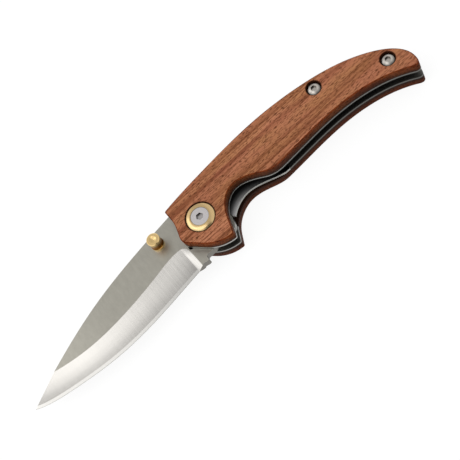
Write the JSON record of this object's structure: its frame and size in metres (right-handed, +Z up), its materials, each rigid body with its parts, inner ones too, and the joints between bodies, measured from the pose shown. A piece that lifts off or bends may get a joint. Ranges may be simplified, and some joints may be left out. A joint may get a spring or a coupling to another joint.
{
  "type": "folding pocket knife",
  "caption": "Folding pocket knife with a hollow-ground pointed blade, thumb stud and liner lock, in a handle of wooden scales on steel liners, held by a brass-collared pivot.",
  "frame": {"origin": "on the pivot axis, in the plane of the back scale's outer face, on which the open knife lies", "axes": "+X along the handle to its butt, so the open blade points to -X; +Y to the handle's back; +Z up, out of the front scale"},
  "size_m": [0.1799, 0.0307, 0.0138],
  "materials": {
    "wood": "satin oiled",
    "liner_steel": "satin",
    "blade_steel": "satin flats, fine-ground bevels",
    "screw_steel": "polished",
    "pin_steel": "turned",
    "brass": "polished",
    "bronze": "satin",
    "black_spacer": "matte"
  },
  "bodies": {
    "handle": {"scale_front": "wood", "scale_back": "wood", "liner_front": "liner_steel", "liner_back": "liner_steel", "backspacer": "black_spacer", "pivot_barrel": "pin_steel", "pivot_screw": "screw_steel", "pivot_collar_front": "brass", "pivot_collar_back": "brass", "washer_front": "bronze", "washer_back": "bronze", "stop_pin": "pin_steel", "body_screws_front": "screw_steel", "body_screws_back": "screw_steel", "spacer_barrels": "pin_steel"},
    "blade": {"blade": "blade_steel", "thumb_stud": "brass", "thumb_stud_nut": "brass"},
    "lock_bar": {"lock_bar": "liner_steel", "detent_ball": "pin_steel"}
  },
  "joints": [
    {"name": "blade_fold", "type": "hinge", "parent": "handle", "child": "blade", "pos_m": [0, 0, 0.0066], "axis": [0, 0, 1], "range_deg": [0, 167]},
    {"name": "lock_release", "type": "hinge", "parent": "handle", "child": "lock_bar", "pos_m": [0.035, 0, 0.00385], "axis": [0, -1, 0], "range_deg": [0, 3.37], "stiffness_Nm_per_rad": 0.5, "deforming": ["lock_bar", "detent_ball"]}
  ],
  "couplings": [
    {"joint": "lock_release", "follows": "blade_fold", "ratio": 0.02016}
  ]
}
